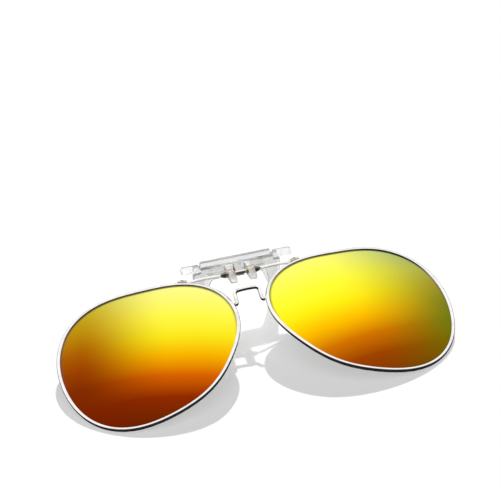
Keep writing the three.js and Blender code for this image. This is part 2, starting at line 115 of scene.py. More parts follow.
class FlipLensSizes(bpy.types.PropertyGroup):
    lens_curve: length("Lens curve", "Radius of the lens's spherical face", 87)
    lens_wrap: angle("Lens wrap", "Turn of each lens back towards the temple", 9)
    lens_thick: length("Lens thickness", "Thickness of each tinted lens", 0.8)
    lens_seat: length("Lens seat", "How far the lens sits behind the middle of its rim", 0.2)
    rim_width: length("Rim width", "Rim wire seen from the front", 1.4)
    rim_depth: length("Rim depth", "Rim wire from front to back", 1.7)
    bridge_radius: length("Bridge radius", "Half thickness of the bridge wire", 0.6)
    arm_radius: length("Arm radius", "Half thickness of the two wires to the axle", 0.5)
    axle_radius: length("Axle radius", "Half thickness of the axle rod", 0.6)
    coil_wire: length("Spring wire radius", "Half thickness of the torsion spring's wire", 0.2)
    coil_turns: FloatProperty(
        name="Spring turns", description="Turns of the torsion spring", default=4.5, min=1)
    edge_ease: length("Moulded edge", "Rounding along the edges of the clear jaws", 0.28)
    edge_steps: IntProperty(
        name="Rim steps", description="Stations round each lens", default=240, min=24)


class FlipLensFinish(bpy.types.PropertyGroup):
    polished: colour("Polished wire", "Colour of the plated wire", (0.93, 0.91, 0.9))
    smoky: colour("Smoky chrome", "Colour of the axle's pointed caps", (0.24, 0.235, 0.23))
    steel: colour("Spring steel", "Colour of the springs and the pin", (0.62, 0.61, 0.6))
    brass: colour("Brass", "Colour of the ear bushes", (0.6, 0.46, 0.34))
    clear: colour("Clear plastic", "Colour of the jaws", (0.97, 0.975, 0.965))
    silicone: colour("Silicone", "Colour of the grip pads", (0.85, 0.86, 0.85))
    # This dark tone is also the painted shade on each lens's front under its upper rim.
    lens_back_and_rim_shade: colour("Lens back", "Tint seen through the back of the lens", (0.055, 0.04, 0.025))
    clear_cover: share(
        "Clear cover", "Share of the light that the clear plastic bends or reflects", 0.75)


class FlipLensStage(bpy.types.PropertyGroup):
    aim: FloatVectorProperty(
        name="Aim", description="Point that the camera looks at", size=3, subtype="XYZ",
        default=(10.434 * MM, 47.174 * MM, 8.0 * MM), unit="LENGTH")
    distance: length("Distance", "From the camera to the point it looks at", 751.27)
    azimuth: angle("Azimuth", "Turn of the view from +Y towards +X", 12.245)
    elevation: angle("Elevation", "Height of the camera over the table", 34.394)
    roll: angle("Roll", "Turn of the camera about its view", -4.405)
    focal: FloatProperty(
        name="Focal length", description="Lens of the camera", default=152.87, unit="CAMERA")
    key: FloatProperty(name="Key light", description="Strength of the low key light", default=1.9)
    fill: FloatProperty(name="Fill light", description="Strength of the even fill", default=2.68)
    sky: FloatProperty(name="Soft box", description="Brightness of the soft box", default=1.05)
    floor: colour("Table", "Colour of the table", (0.9, 0.9, 0.9))


# ---- surfaces -------------------------------------------------------------------------------

class Skin:
    """Gathers closed surfaces, each a grid of points, into the mesh of one piece."""

    def __init__(self):
        self.points = []
        self.faces = []
        self.count = 0

    def add(self, rings, loop=False, poles=None):
        """Joins neighbouring rings of an array (rings, around, 3) by quads.

        A loop joins the last ring to the first. Otherwise the two ends are closed, each by a fan
        round its pole, or by one flat face where no poles are given. Faces end up facing outwards,
        because the volume that they enclose is made positive.
        """
        rows, around = rings.shape[:2]
        index = np.arange(rows * around).reshape(rows, around)
        here = np.arange(rows if loop else rows - 1)
        above = (here + 1) % rows
        side = np.roll(index, -1, axis=1)
        quads = np.stack([index[here], side[here], side[above], index[above]], axis=-1)
        faces = quads.reshape(-1, 4).tolist()
        points = rings.reshape(-1, 3)
        if poles is not None:
            first, last = len(points), len(points) + 1
            points = np.vstack([points, poles])
            faces += [[first, b, a] for a, b in zip(index[0], side[0])]
            faces += [[last, a, b] for a, b in zip(index[-1], side[-1])]
        elif not loop:
            faces += [index[0][::-1].tolist(), index[-1].tolist()]
        if enclosed(points, faces) < 0:
            faces = [face[::-1] for face in faces]
        self.points.append(points)
        self.faces += [[int(corner) + self.count for corner in face] for face in faces]
        self.count += len(points)
        return self

    def mirrored(self):
        """The same surfaces on the other side of x = 0."""
        other = Skin()
        other.points = [points * (-1, 1, 1) for points in self.points]
        other.faces = [face[::-1] for face in self.faces]
        other.count = self.count
        return other

    def piece(self, name):
        """One smooth mesh object at the origin, with its place in its mesh."""
        mesh = bpy.data.meshes.new(name)
        mesh.from_pydata(stand(np.vstack(self.points)), [], self.faces)
        mesh.update()
        return linked(name, mesh)


def enclosed(points, faces):
    """Volume inside closed faces: the sum of the fans' tetrahedra seen from the first point."""
    start = points[0]
    fans = [(face[0], a, b) for face in faces for a, b in zip(face[1:-1], face[2:])]
    a, b, c = (points[np.array(corners)] - start for corners in zip(*fans))
    return float(np.einsum("ij,ij->i", a, np.cross(b, c)).sum()) / 6


def linked(name, mesh):
    """An object for a mesh, shaded smooth between its sharp edges."""
    piece = bpy.data.objects.new(name, mesh)
    bpy.context.scene.collection.objects.link(piece)
    mesh.polygons.foreach_set("use_smooth", np.ones(len(mesh.polygons), bool))
    mesh.set_sharp_from_angle(angle=SHARP_ANGLE)
    return piece


def joined(name, solids, cuts=()):
    """One mesh from closed solids, with others cut out of them, by exact booleans.

    The solver's own tolerance suits pieces of some metres, so it works in millimetres.
    """
    parts = [skin.piece(f"{name}_part") for skin in (*solids, *cuts)]
    for part in parts:
        part.data.transform(Matrix.Scale(1 / MM, 4))
    base = parts[0]
    for number, part in enumerate(parts[1:], start=1):
        boolean = base.modifiers.new("boolean", "BOOLEAN")
        boolean.operation = "UNION" if number < len(solids) else "DIFFERENCE"
        boolean.solver = "EXACT"
        boolean.object = part
    bpy.context.view_layer.update()
    graph = bpy.context.evaluated_depsgraph_get()
    mesh = bpy.data.meshes.new_from_object(base.evaluated_get(graph))
    for part in parts:
        old = part.data
        bpy.data.objects.remove(part)
        bpy.data.meshes.remove(old)
    mesh.transform(Matrix.Scale(MM, 4))
    mesh.name = name
    return linked(name, mesh)


def even_normals(piece):
    """Lets the large flat faces keep their own normals beside their rounded edges."""
    weighted = piece.modifiers.new("even normals", "WEIGHTED_NORMAL")
    weighted.keep_sharp = True
    return piece


def finished(piece, node, body, material):
    """Gives a piece its material, and its place on the frame."""
    piece.data.materials.clear()
    piece.data.materials.append(material)
    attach(piece, body)
    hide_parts(node)
    return piece


# ---- outlines and paths ---------------------------------------------------------------------

# The most of a side that the easing of one corner may take.
EASE_SHARE = 0.48
# A wire's end is eased over this share of its radius and narrows by it, short of a full dome.
DOME = 0.35
DOME_FULL = 0.95
# Extra stations of a wire, in radii from its end.
END_STEPS = np.array([0.03, 0.1, 0.2, 0.32])


def circle(count):
    """Angles of one turn, without its end."""
    return np.linspace(0, 2 * np.pi, count, endpoint=False)


def soft_corners(corners, ease, steps=5, closed=True):
    """A polygon whose corners are eased: each is a parabola between points `ease` away from it."""
    points = np.array(corners, float)
    count = len(points)
    before = np.roll(points, 1, axis=0) - points
    after = np.roll(points, -1, axis=0) - points
    long_before = np.linalg.norm(before, axis=1, keepdims=True)
    long_after = np.linalg.norm(after, axis=1, keepdims=True)
    eases = np.broadcast_to(np.reshape(ease, (-1, 1)), (count, 1))
    start = points + before / long_before * np.minimum(eases, EASE_SHARE * long_before)
    stop = points + after / long_after * np.minimum(eases, EASE_SHARE * long_after)
    t = np.linspace(0, 1, steps)[None, :, None]
    curve = (start[:, None] * (1 - t) ** 2 + 2 * points[:, None] * t * (1 - t)
             + stop[:, None] * t ** 2)
    if closed:
        return curve.reshape(-1, points.shape[1])
    return np.vstack([points[:1], curve[1:-1].reshape(-1, points.shape[1]), points[-1:]])


def through(points, count):
    """A smooth path through points: cubic pieces, blended from the lines through neighbours."""
    points = np.array(points, float)
    ends = np.vstack([2 * points[0] - points[1], points, 2 * points[-1] - points[-2]])
    span = np.sqrt(np.linalg.norm(np.diff(ends, axis=0), axis=1))
    knots = np.concatenate([[0], np.cumsum(span)])
    at = np.linspace(knots[1], knots[-2], count)
    i = np.clip(np.searchsorted(knots, at, side="right") - 1, 1, len(points) - 1)
    k = [knots[i + step][:, None] for step in (-1, 0, 1, 2)]
    p = [ends[i + step] for step in (-1, 0, 1, 2)]
    t = at[:, None]

    def blend(a, b, ta, tb):
        return (a * (tb - t) + b * (t - ta)) / (tb - ta)

    a = [blend(p[j], p[j + 1], k[j], k[j + 1]) for j in range(3)]
    b = [blend(a[j], a[j + 1], k[j], k[j + 2]) for j in range(2)]
    return blend(b[0], b[1], k[1], k[2])


def squared(wave, square):
    """A sine or cosine, reshaped so that the pair draws |a|^square + |b|^square = 1."""
    return np.sign(wave) * np.abs(wave) ** (2 / square)


def tube(path, radius, sides=32, flat=1.0, square=2.0):
    """A wire: a section carried along a path, in frames that never twist.

    The section is |a|^square + |b/flat|^square = 1, which is a circle at 2 and 1, and its flat side
    faces the lenses' front. The ends are eased, so that the wire stops in a shallow dome.
    """
    along = np.gradient(path, axis=0)
    along /= np.linalg.norm(along, axis=1, keepdims=True)
    across = np.empty_like(along)
    last = np.cross(along[0], (0.0, 1.0, 0.0))
    for i, way in enumerate(along):
        last = last - way * (last @ way)
        last /= np.linalg.norm(last)
        across[i] = last
    third = np.cross(along, across)
    turn = circle(sides)[None, :, None]
    wide, deep = squared(np.cos(turn), square), squared(np.sin(turn), square)
    ring = across[:, None] * wide + third[:, None] * flat * deep
    walked = np.concatenate([[0], np.cumsum(np.linalg.norm(np.diff(path, axis=0), axis=1))])
    from_end = np.minimum(walked, walked[-1] - walked)
    left = np.clip(1 - from_end / (DOME * radius), 0, 1)
    size = radius * (1 - DOME * (1 - np.sqrt(1 - DOME_FULL * left ** 2)))
    return path[:, None] + ring * size[:, None, None]


def with_ends(path, radius):
    """A path with extra stations close to both ends, where a wire's edge is eased."""
    steps = END_STEPS * radius
    head = path[1] - path[0]
    tail = path[-2] - path[-1]
    head = path[0] + head / np.linalg.norm(head) * steps[:, None]
    tail = path[-1] + tail / np.linalg.norm(tail) * steps[::-1, None]
    return np.vstack([path[:1], head, path[1:-1], tail, path[-1:]])


def rod_profile(radius, start, stop, ease):
    """Profile of a round rod with eased ends, as `turned` takes it."""
    return soft_corners(
        [(TIP, start), (radius, start), (radius, stop), (TIP, stop)], ease, closed=False)


def turned(profile, centre, sides=64, axis=0):
    """A turned solid: a profile of (radius, height) points carried once round an axis."""
    profile = np.array(profile, float)
    turn = circle(sides)
    radial = profile[:, 0][:, None]
    height = np.broadcast_to(profile[:, 1][:, None], (len(profile), sides))
    planes = [height, radial * np.cos(turn), radial * np.sin(turn)]
    rings = np.stack(planes[-axis:] + planes[:-axis] if axis else planes, axis=-1)
    return rings + np.array(centre)


def plate(outline, low, high, ease, steps=4):
    """A moulded plate: its outline, stepped inwards round both edges along a quarter circle.

    It is drawn in x and y, with its thickness along z.
    """
    before, after = np.roll(outline, 1, axis=0), np.roll(outline, -1, axis=0)
    along = after - before
    along /= np.linalg.norm(along, axis=1, keepdims=True)
    area = np.sum(outline[:, 0] * after[:, 1] - outline[:, 1] * after[:, 0])
    inward = np.stack([-along[:, 1], along[:, 0]], axis=1) * np.sign(area)
    turn = np.linspace(0, np.pi / 2, steps + 1)
    inset = ease * (1 - np.sin(turn))
    rise = ease * (1 - np.cos(turn))
    insets = np.concatenate([inset, inset[::-1]])
    levels = np.concatenate([low + rise, high - rise[::-1]])
    flat = outline[None] + inward[None] * insets[:, None, None]
    depth = np.broadcast_to(levels[:, None, None], (*flat.shape[:2], 1))
    return np.concatenate([flat, depth], axis=-1)


def shelf(rings):
    """A plate whose outline is in x and z instead, with its thickness along y."""
    return rings[..., [0, 2, 1]]


def upright(rings):
    """A plate whose outline is in z and y instead, with its thickness along x."""
    return rings[..., [2, 1, 0]]


def box(x, y, z):
    """A plain box between pairs of x, y and z."""
    corners = [(x[i], y[j]) for i, j in ((0, 0), (1, 0), (1, 1), (0, 1))]
    return np.array([[(*corner, level) for corner in corners] for level in z])


# ---- the edge of a lens ---------------------------------------------------------------------

# From the middle of the lens to its edge every 30 degrees, from the temple side up.
LENS_RADII = np.array([29.6, 31.1, 29.9, 26.4, 29.0, 32.4, 28.7, 25.0, 24.2, 25.0, 28.0, 29.4]) * MM
LENS_MIDDLE_X = 36.6 * MM
LOCK_ANGLE = math.radians(123.5)
BRIDGE_FOOT_ANGLE = math.radians(159)
# Space between a soldered wire and what it is soldered to.
GAP = 0.15 * MM
# Radians to either side at which the edge's direction is read.
EDGE_STEP = 0.004


def lens_radius(angles):
    """Distance to the edge: the twelve radii, joined by the lowest twelve cosine waves."""
    count = len(LENS_RADII)
    turn = np.asarray(angles)[..., None] - 2 * np.pi * np.arange(count) / count
    waves = 2 * sum(np.cos(k * turn) for k in range(1, count // 2))
    return (LENS_RADII * (1 + np.cos(count // 2 * turn) + waves)).sum(axis=-1) / count


def lens_point(sizes, angles, shares, deep=0.0):
    """A point of the lens: a sphere's cap, leaning back to the temple, and `deep` behind it."""
    radius = lens_radius(angles) * shares
    across, up = radius * np.cos(angles), radius * np.sin(angles)
    drop = np.sqrt(sizes.lens_curve ** 2 - radius ** 2)
    lean = math.tan(sizes.lens_wrap)
    point = np.stack([LENS_MIDDLE_X + across, sizes.lens_curve - drop + lean * across, up], axis=-1)
    back = np.stack([-across / drop - lean, np.ones_like(drop), -up / drop], axis=-1)
    back /= np.linalg.norm(back, axis=-1, keepdims=True)
    return point + back * deep, back


def edge_frame(sizes, angles):
    """Point, outward, back and along directions on the edge of the lens."""
    angles = np.asarray(angles, float)
    point, back = lens_point(sizes, angles, 1.0)
    after, before = (lens_point(sizes, angles + step, 1.0)[0] for step in (EDGE_STEP, -EDGE_STEP))
    along = after - before
    along /= np.linalg.norm(along, axis=-1, keepdims=True)
    outward = np.cross(back, along)
    outward /= np.linalg.norm(outward, axis=-1, keepdims=True)
    return point, outward, back, along


def on_edge(sizes, at, out, deep):
    """A point `out` of the lens's edge, and `deep` behind it."""
    point, outward, back, _ = edge_frame(sizes, at)
    return point + outward * out + back * deep


# ---- finishes -------------------------------------------------------------------------------

class Signal:
    """A value that varies over a surface. Arithmetic on it adds Math nodes."""

    def __init__(self, finish, socket):
        self.finish = finish
        self.socket = socket

    def math(self, operation, *values):
        return self.finish.node("ShaderNodeMath", {"operation": operation}, dict(enumerate(values)))

    def __add__(self, other):
        return self.math("ADD", self, other)

    __radd__ = __add__

    def __mul__(self, other):
        return self.math("MULTIPLY", self, other)

    __rmul__ = __mul__

    def __sub__(self, other):
        return self.math("SUBTRACT", self, other)

    def __rsub__(self, other):
        return self.math("SUBTRACT", other, self)

    def eased(self, low, high):
        """0 below `low`, 1 above `high`, and smooth between them."""
        return self.finish.node(
            "ShaderNodeMapRange", {"interpolation_type": "SMOOTHSTEP"},
            {"Value": self, "From Min": low, "From Max": high})


class Finish:
    """The node tree of a material or of the world."""

    def __init__(self, owner):
        owner.use_nodes = True
        self.tree = owner.node_tree
        self.tree.nodes.clear()

    def node(self, kind, settings=None, inputs=None, output=0):
        """Adds a node, gives it its settings, and then its inputs' values or links."""
        made = self.tree.nodes.new(kind)
        for key, value in (settings or {}).items():
            if key == "stops":
                self.stops(made.color_ramp, value)
            else:
                setattr(made, key, value)
        for key, value in (inputs or {}).items():
            if isinstance(value, Signal):
                self.tree.links.new(value.socket, made.inputs[key])
            else:
                made.inputs[key].default_value = value
        return Signal(self, made.outputs[output]) if len(made.outputs) else made

    @staticmethod
    def stops(ramp, stops):
        while len(ramp.elements) < len(stops):
            ramp.elements.new(1.0)
        for element, (position, tone) in zip(ramp.elements, stops):
            element.position = position
            element.color = (*tone, 1)

    def place(self):
        return self.node("ShaderNodeTexCoord", output="Object")

    def axes(self, vector, names):
        """The named parts of a vector."""
        return [
            self.node("ShaderNodeSeparateXYZ", {}, {"Vector": vector}, output=name)
            for name in names]

    def noise(self, scale, detail=3.0, stretch=(1, 1, 1)):
        """Cloudy values from 0 to 1, `scale` of them to the metre."""
        turned_place = self.node(
            "ShaderNodeMapping", {}, {"Vector": self.place(), "Scale": stretch})
        return self.node(
            "ShaderNodeTexNoise", {}, {"Vector": turned_place, "Scale": scale, "Detail": detail})

    def mixed(self, factor, first, second):
        """One colour fading into another."""
        return self.node(
            "ShaderNodeMix", {"data_type": "RGBA"}, {0: factor, 6: first, 7: second}, output=2)

    def bump(self, height, strength, distance):
        return self.node(
            "ShaderNodeBump", {}, {"Height": height, "Strength": strength, "Distance": distance})

    def surface(self, **inputs):
        shader = self.node(
            "ShaderNodeBsdfPrincipled", {}, {key.replace("_", " "): v for key, v in inputs.items()})
        self.node("ShaderNodeOutputMaterial", {}, {"Surface": shader})


def rgba(tone):
    return (*tone, 1.0)


def material(name, shade, *args):
    """The material of that name, made once by its own function."""
    found = bpy.data.materials.get(name)
    if found is None:
        found = bpy.data.materials.new(name)
        shade(Finish(found), *args)
    return found


def shade_metal(finish, tone, roughness, grain, metallic):
    """Plated or polished metal: fine drawing lines, and cloudy handling marks in the gloss."""
    cloud = finish.noise(260.0)
    lines = finish.noise(5200.0, 2.0)
    darker = rgba([0.86 * part for part in tone])
    finish.surface(
        Base_Color=finish.mixed(cloud.eased(0.35, 0.75), rgba(tone), darker),
        Metallic=metallic,
        Roughness=roughness * (0.7 + 0.6 * cloud),
        Normal=finish.bump(lines, grain, 0.01 * MM),
    )


def shade_clear(finish, tone, cover):
    """Clear moulded plastic: refracts what is behind it, with faint flow lines in its skin."""
    flow = finish.noise(900.0, 2.0, (1, 3, 1))
    finish.surface(
        Base_Color=finish.mixed(flow, rgba(tone), rgba([0.94 * part for part in tone])),
        Roughness=0.03 + 0.04 * flow,
        IOR=1.49,
        Transmission_Weight=1.0,
        Alpha=cover,
        Normal=finish.bump(flow, 0.05, 0.02 * MM),
    )


def shade_silicone(finish, tone):
    """Soft milky rubber with a fine matt skin."""
    skin = finish.noise(3800.0, 4.0)
    finish.surface(
        Base_Color=finish.mixed(skin, rgba(tone), rgba([0.9 * part for part in tone])),
        Roughness=0.45 + 0.2 * skin,
        Alpha=0.82 + 0.06 * skin,
        Normal=finish.bump(skin, 0.25, 0.02 * MM),
    )


# Colours of the mirror coating from the bottom of a lens to its top, by its nose and its temple:
# the coating's tint with a painted reflection, light where it mirrors the soft box above and dark
# where it mirrors the dark surroundings below and aside.
COAT_HEIGHTS = (0.08, 0.2, 0.32, 0.44, 0.56, 0.7, 0.92)
COATS_AND_PAINTED_REFLECTION = {
    "left": (
        ((0.137, 0.017, 0.0), (0.252, 0.021, 0.0), (0.634, 0.113, 0.0), (0.863, 0.421, 0.0),
         (0.877, 0.742, 0.009), (0.94, 0.869, 0.057), (0.901, 0.881, 0.227)),
        ((0.164, 0.011, 0.0), (0.19, 0.017, 0.0), (0.21, 0.023, 0.0), (0.305, 0.048, 0.0),
         (0.39, 0.106, 0.0), (0.474, 0.245, 0.0), (0.52, 0.437, 0.006)),
    ),
    "right": (
        ((0.198, 0.042, 0.001), (0.31, 0.049, 0.0), (0.6, 0.158, 0.0), (0.936, 0.49, 0.0),
         (0.99, 0.814, 0.006), (0.99, 0.947, 0.037), (0.978, 0.938, 0.154)),
        ((0.117, 0.123, 0.0), (0.123, 0.16, 0.0), (0.091, 0.186, 0.003), (0.157, 0.182, 0.005),
         (0.29, 0.253, 0.011), (0.385, 0.385, 0.05), (0.265, 0.427, 0.199)),
    ),
}
# How the colours lie on a lens: where the temple's start and are full, how far that border leans,
# and how far the bands fall towards the temple.
COAT_LAY = {"left": (0.386, 0.884, -0.16, -0.24), "right": (0.372, 1.045, -0.257, -0.163)}


FRONT_METALLIC = 0.5
BACK_METALLIC = 0.1


def shade_lens(finish, side, back):
    """Mirror-coated lens: gold by the nose, red-brown below, olive at the temple, dark behind; the
    bands are a painted reflection over the coating's tint, with painted shade under the upper rim.
    """
    spot = finish.node("ShaderNodeAttribute", {"attribute_name": "lens_place"}, output="Vector")
    across, up, front = finish.axes(spot, "XYZ")
    drift = finish.noise(30.0, 1.0)
    start, full, lean, fall = COAT_LAY[side]
    height = up + fall * (across - 0.5) + 0.03 * (drift - 0.5)
    # Both ramps paint the coating's reflection of the soft box and of the dark surroundings into
    # its colour.
    nose, temple = (
        finish.node(
            "ShaderNodeValToRGB", {"stops": list(zip(COAT_HEIGHTS, tones))}, {"Fac": height})
        for tones in COATS_AND_PAINTED_REFLECTION[side])
    coat_and_painted_reflection = finish.mixed((across + lean * (0.5 - up)).eased(start, full), nose, temple)
    wipe = finish.noise(700.0, 2.0)
    # Where the front's coating share falls below one under the upper rim, the back colour, metallic
    # and coat stand in as painted shade.
    finish.surface(
        Base_Color=finish.mixed(front, rgba(back), coat_and_painted_reflection),
        Metallic=BACK_METALLIC + (FRONT_METALLIC - BACK_METALLIC) * front,
        Roughness=0.12 + 0.05 * wipe,
        Specular_IOR_Level=0.0,
        Coat_Weight=1.0 - front,
    )


# ---- shared ground of the operators ----------------------------------------------------------

class Maker(bpy.types.Operator):
    """Shared ground of the operators"""

    bl_idname = "flip_lens.maker"
    bl_label = "Shared ground"
    bl_options = {"REGISTER", "UNDO"}

    def execute(self, context):
        scene = context.scene
        self.make(scene.flip_lens_sizes, scene.flip_lens_finish)
        return {"FINISHED"}

    def make(self, sizes, finish):
        raise NotImplementedError(self.bl_idname)


def both_sides(skin):
    """The right-hand skin as drawn, and its left-hand copy."""
    return (("right", skin), ("left", skin.mirrored()))


# Of each metal: its roughness, the strength of its drawing lines, and how metallic it is.
METALS = {
    "polished_wire": (0.07, 0.04, 1.0),
    "satin_wire": (0.3, 0.1, 0.45),
    "smoky_chrome": (0.08, 0.04, 1.0),
    "spring_steel": (0.22, 0.12, 1.0),
    "brass": (0.14, 0.06, 1.0),
}


def metal(name, tone):
    """The metal of that name, in a colour that the user can change."""
    return material(name, shade_metal, tuple(tone), *METALS[name])


# ---- the tinted lenses and their rims --------------------------------------------------------

LENS_RINGS = 36
LENS_RIDGE = 0.32 * MM
FACE_SEAT = 0.08 * MM
# How fast a lens's faces reach out to their seats in the rim: only their outer rings do.
SEAT_POWER = 6
# Painted shade under the upper rim: how much of their coating the front's two outermost rings give
# up for the dark back colour, and the sines of the angle round the lens at which that painted shade
# starts and over which it fades in.
RIM_SHADE = np.array([[0.45], [1.0]])
SHADE_START = -0.1
SHADE_FADE = 0.4

RIM_SIDES = 48
RIM_SQUARE = 2.5
GROOVE_HALF = 0.5 * MM
GROOVE_DEEP = 0.5 * MM


class FLIP_LENS_OT_lenses(Maker):
    """Two mirrored lenses: rings of a sphere's cap, front and back, with a ridge round the edge"""

    bl_idname = "flip_lens.lenses"
    bl_label = "Tinted lenses"

    def make(self, sizes, finish):
        half = sizes.lens_thick / 2
        front_deep, back_deep = sizes.lens_seat - half, sizes.lens_seat + half
        angles = circle(sizes.edge_steps)
        shares = np.sqrt(np.linspace(0, 1, LENS_RINGS + 1)[1:])[:, None]

        def face(deep):
            inner = lens_point(sizes, np.tile(angles, (LENS_RINGS, 1)), shares, deep)[0]
            edge = on_edge(sizes, angles, FACE_SEAT, deep)
            return inner + (edge - inner[-1]) * shares[..., None] ** SEAT_POWER

        ridge = on_edge(sizes, angles, LENS_RIDGE, sizes.lens_seat)[None]
        rows = np.concatenate([face(front_deep), ridge, face(back_deep)[::-1]])
        centre = np.array([0.0])
        poles = [lens_point(sizes, centre, centre, deep)[0][0] for deep in (front_deep, back_deep)]
        skin = Skin().add(rows, poles=np.array(poles))
        spot = self.lens_place(np.vstack(skin.points), angles)
        for side, one in both_sides(skin):
            piece = one.piece(f"mirror_lens_{side}")
            field = piece.data.attributes.new("lens_place", "FLOAT_VECTOR", "POINT")
            field.data.foreach_set("vector", spot.astype(np.float32).ravel())
            coat_and_painted_reflection = material(f"mirror_coat_{side}", shade_lens, side, tuple(finish.lens_back_and_rim_shade))
            finished(piece, f"tinted_lens_{side}", "lens_front", coat_and_painted_reflection)

    @staticmethod
    def lens_place(points, angles):
        """Of each point: across and up the lens, 0 to 1, and how much of the coating shows, less
        the painted shade under the upper rim.
        """
        spread = 2 * LENS_RADII.max()
        in_shade = np.clip((np.sin(angles) - SHADE_START) / SHADE_FADE, 0, 1)
        coated = np.ones((LENS_RINGS, len(angles)))
        # Painted shade: under the upper rim the outermost front rings lose coating and show the
        # dark back colour.
        coated[-2:] -= RIM_SHADE * in_shade
        bare = np.zeros((LENS_RINGS + 1) * len(angles))
        coating = np.concatenate([coated.ravel(), bare, [1.0, 0.0]])
        across, up = (points[:, 0] - LENS_MIDDLE_X) / spread + 0.5, points[:, 2] / spread + 0.5
        return np.stack([across, up, coating], axis=1)


class FLIP_LENS_OT_rims(Maker):
    """Two rims: a softly squared wire section, grooved on its inner side, carried round the lens"""

    bl_idname = "flip_lens.rims"
    bl_label = "Rims"

    def make(self, sizes, finish):
        angles = circle(sizes.edge_steps)
        turn = circle(RIM_SIDES)
        half = sizes.rim_width / 2
        out = half + half * squared(np.cos(turn), RIM_SQUARE)
        deep = sizes.rim_depth / 2 * squared(np.sin(turn), RIM_SQUARE)
        groove = GROOVE_DEEP * (1 - np.abs(deep - sizes.lens_seat) / GROOVE_HALF)
        out = np.where(np.cos(turn) < 0, np.maximum(out, groove), out)
        point, outward, back, _ = edge_frame(sizes, angles)
        rows = (point[:, None] + outward[:, None] * out[None, :, None]
                + back[:, None] * deep[None, :, None])
        for side, skin in both_sides(Skin().add(rows, loop=True)):
            piece = skin.piece(f"rim_wire_{side}")
            wire = metal("polished_wire", finish.polished)
            finished(piece, f"rim_{side}", "lens_front", wire)


LOCK_LONG = 3.2 * MM
LOCK_HIGH = 1.2 * MM
LOCK_DEEP = 1.7 * MM
LOCK_CHAMFER = 0.35 * MM
LOCK_CORNER = 0.22 * MM
LOCK_EDGE = 0.12 * MM
SEAM_HALF = 0.05 * MM
SEAM_DEEP = 0.35 * MM
SCREW_R = 0.45 * MM
SCREW_PLAY = 0.08 * MM
SCREW_SUNK = 0.1 * MM
SCREW_EASE = 0.1 * MM
HEAD_CROWN = 0.06 * MM
TAIL_POINT = 0.04 * MM
SLOT_HALF = 0.08 * MM
SLOT_DEEP = 0.28 * MM
CUTTER_PAST = 1.0 * MM


def lock_out(sizes):
    """From the edge of the lens out to the middle of the closing block."""
    return sizes.rim_width + GAP + LOCK_HIGH / 2


def on_lock(sizes, rings):
    """Moves a shape drawn as along, deep and outward to the closing block's place on the rim."""
    point, outward, back, _ = edge_frame(sizes, LOCK_ANGLE)
    along = np.cross(back, outward)
    basis = np.stack([along, back, outward])
    return rings @ basis + point + outward * lock_out(sizes)


class FLIP_LENS_OT_closing_blocks(Maker):
    """Split block that closes each rim, and the slotted screw through it"""

    bl_idname = "flip_lens.closing_blocks"
    bl_label = "Closing blocks"

    def make(self, sizes, finish):
        x, z, deep = LOCK_LONG / 2, LOCK_HIGH / 2, LOCK_DEEP / 2
        outline = soft_corners([
            (-x, -z), (x, -z), (x, z - LOCK_CHAMFER), (x - LOCK_CHAMFER, z),
            (LOCK_CHAMFER - x, z), (-x, z - LOCK_CHAMFER)], LOCK_CORNER)
        wall = SCREW_R + SCREW_PLAY
        reach = deep - SCREW_SUNK
        rod = soft_corners([
            (TIP, -reach), (SCREW_R, -reach + HEAD_CROWN), (SCREW_R, reach),
            (TIP, reach + TAIL_POINT)], SCREW_EASE, closed=False)
        wide, above = (-LOCK_LONG, LOCK_LONG), -reach - CUTTER_PAST
        block, hole, seam, shank, slot = (Skin().add(on_lock(sizes, rings)) for rings in (
            shelf(plate(outline, -deep, deep, LOCK_EDGE)),
            turned([(wall, -LOCK_DEEP), (wall, LOCK_DEEP)], (0, 0, 0), axis=1),
            box(wide, (above, SEAM_DEEP - deep), (-SEAM_HALF, SEAM_HALF)),
            turned(rod, (0, 0, 0), axis=1),
            box(wide, (above, SLOT_DEEP - reach), (-SLOT_HALF, SLOT_HALF))))
        wire, steel = metal("polished_wire", finish.polished), metal("spring_steel", finish.steel)
        for side in ("right", "left"):
            here = Skin.mirrored if side == "left" else (lambda skin: skin)
            body = joined(f"closing_block_{side}", [here(block)], [here(hole), here(seam)])
            finished(even_normals(body), f"rim_lock_{side}", "lens_front", wire)
            screw = joined(f"closing_screw_{side}", [here(shank)], [here(slot)])
            finished(even_normals(screw), f"rim_screw_{side}", "lens_front", steel)


# ---- wire front: arms, bridge and axle -------------------------------------------------------

AXLE_HALF = 4.9 * MM
ROD_EASE = 0.12 * MM
CAP_BASE_X = AXLE_HALF + GAP
CAP_TIP_X = 7.0 * MM
CAP_LONG = (CAP_TIP_X - CAP_BASE_X) / MM
CAP_EASE = 0.14 * MM
# Radius and height of a cap's flange, neck, bead, cone and tip.
CAP_PROFILE = np.array([
    (TIP / MM, 0), (1.15, 0), (1.15, 0.35), (0.85, 0.5), (1.03, 0.75), (0.9, 1.0),
    (0.35, CAP_LONG - 0.1), (0.22, CAP_LONG), (TIP / MM, CAP_LONG)]) * MM

# The arms bow a little to the front on their way, and are flat wire.
ARM_BOW = np.array([0, -0.25, 0.1]) * MM
ARM_STATIONS = 60
ARM_FLAT = 0.7
ARM_SQUARE = 3.4

# The bridge: two points of each foot, as far out of the rim and in front of its middle as this,
# then a shoulder and the top, and how far each of these corners is eased.
FOOT_OUT = (0.15 * MM, 1.15 * MM)
FOOT_FORWARD = 0.2 * MM
BRIDGE_SHOULDER = np.array([4.15, 0.4, 16.4]) * MM
BRIDGE_TOP = np.array([0, 0.25, 16.65]) * MM
BRIDGE_EASES = np.array([0, 0.8, 1.3, 2, 1.3, 0.8, 0]) * MM
BRIDGE_STEPS = 12


